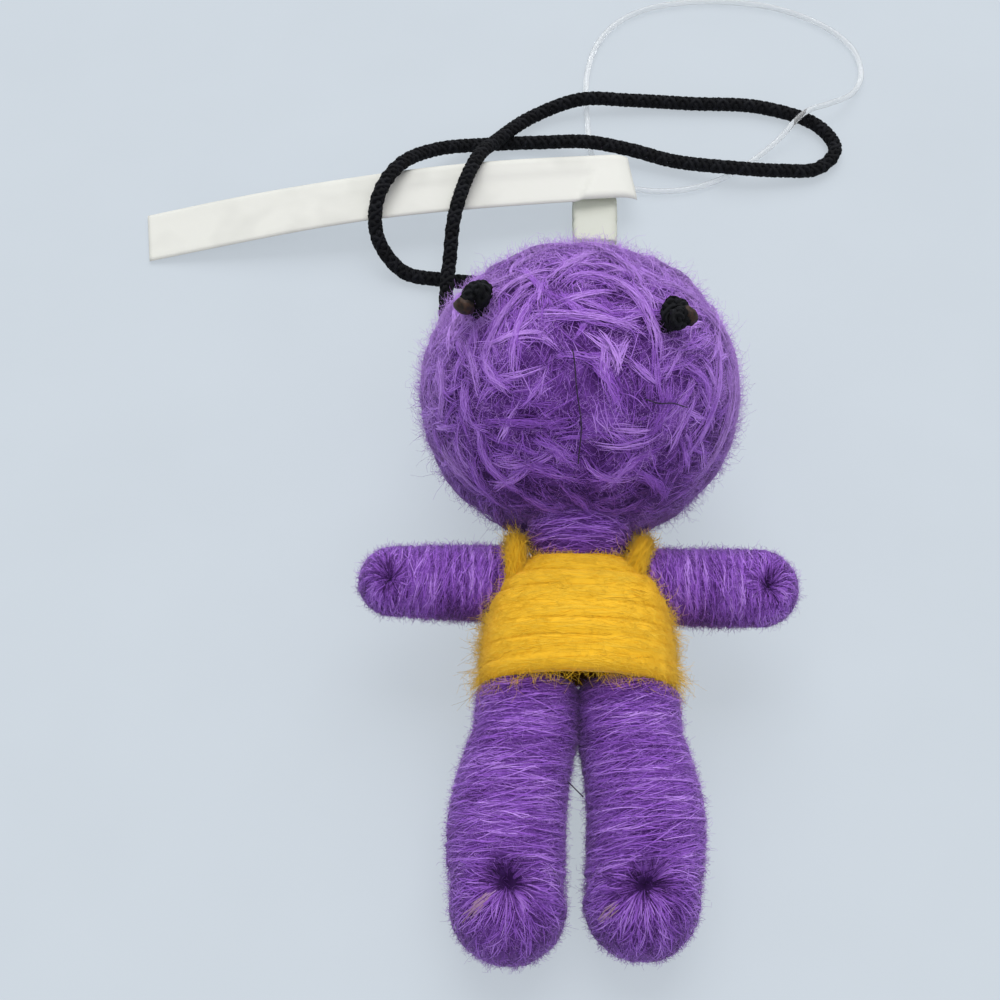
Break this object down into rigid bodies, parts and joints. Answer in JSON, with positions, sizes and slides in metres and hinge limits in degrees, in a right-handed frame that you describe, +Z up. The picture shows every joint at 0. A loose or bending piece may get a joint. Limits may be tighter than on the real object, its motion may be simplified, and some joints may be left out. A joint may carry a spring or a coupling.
{
  "type": "yarn-wound string doll",
  "caption": "Posable string doll of yarn wound over a wire frame: ball head, banded dress, arms, legs, knotted hanging cord and a bare loop tag.",
  "frame": {"origin": "on the floor under the middle of the doll as it lies face down, leaving out the cord and tag", "axes": "+Z up out of the doll's back, +Y from the feet to the head, +X to the doll's right hand"},
  "size_m": [0.116, 0.1676, 0.0425],
  "materials": {
    "purple_yarn": "soft fuzzy wool, wound",
    "yellow_yarn": "soft fuzzy wool, wound in bands",
    "wadding": "undyed wadding",
    "soft_wire": "plain annealed wire",
    "black_cord": "round braided cord",
    "clear_nylon": "clear filament",
    "frosted_plastic": "frosted",
    "bare_paper": "smooth coated paper, bare"
  },
  "bodies": {
    "torso": {"torso_core": "wadding", "spine_wire": "soft_wire", "shoulder_wire": "soft_wire", "hip_wire": "soft_wire", "dress_winding": "yellow_yarn", "dress_bodice": "yellow_yarn", "strap_left": "yellow_yarn", "strap_right": "yellow_yarn"},
    "neck": {"neck_yarn": "purple_yarn", "neck_wire": "soft_wire"},
    "head": {"head_yarn": "purple_yarn", "head_core": "wadding", "cord_end_left": "black_cord", "cord_end_right": "black_cord", "hanging_cord": "black_cord", "tag_loop": "clear_nylon", "tag_lock": "frosted_plastic", "tag_strip": "bare_paper"},
    "arm_left": {"arm_core_left": "wadding", "arm_wire_left": "soft_wire", "arm_winding_left": "purple_yarn", "hand_left": "purple_yarn"},
    "arm_right": {"arm_core_right": "wadding", "arm_wire_right": "soft_wire", "arm_winding_right": "purple_yarn", "hand_right": "purple_yarn"},
    "leg_left": {"leg_core_left": "wadding", "leg_wire_left": "soft_wire", "leg_winding_left": "purple_yarn", "foot_left": "purple_yarn"},
    "leg_right": {"leg_core_right": "wadding", "leg_wire_right": "soft_wire", "leg_winding_right": "purple_yarn", "foot_right": "purple_yarn"}
  },
  "joints": [
    {"name": "head_nod", "type": "hinge", "parent": "torso", "child": "neck", "pos_m": [0, 0.00653, 0.01597], "axis": [1, 0, 0], "range_deg": [-25, 25]},
    {"name": "head_turn", "type": "hinge", "parent": "neck", "child": "head", "pos_m": [0, 0.00653, 0.01597], "axis": [0, 0.9795, 0.2016], "range_deg": [-60, 60]},
    {"name": "shoulder_left", "type": "hinge", "parent": "torso", "child": "arm_left", "pos_m": [-0.0128, 0.00006, 0.01464], "axis": [0, 0.2016, -0.9795], "range_deg": [-38, 38]},
    {"name": "shoulder_right", "type": "hinge", "parent": "torso", "child": "arm_right", "pos_m": [0.0128, 0.00006, 0.01464], "axis": [0, -0.2016, 0.9795], "range_deg": [-38, 38]},
    {"name": "hip_left", "type": "hinge", "parent": "torso", "child": "leg_left", "pos_m": [-0.0069, -0.01894, 0.01073], "axis": [1, 0, 0], "range_deg": [-30, 75]},
    {"name": "hip_right", "type": "hinge", "parent": "torso", "child": "leg_right", "pos_m": [0.0069, -0.01894, 0.01073], "axis": [1, 0, 0], "range_deg": [-30, 75]}
  ]
}
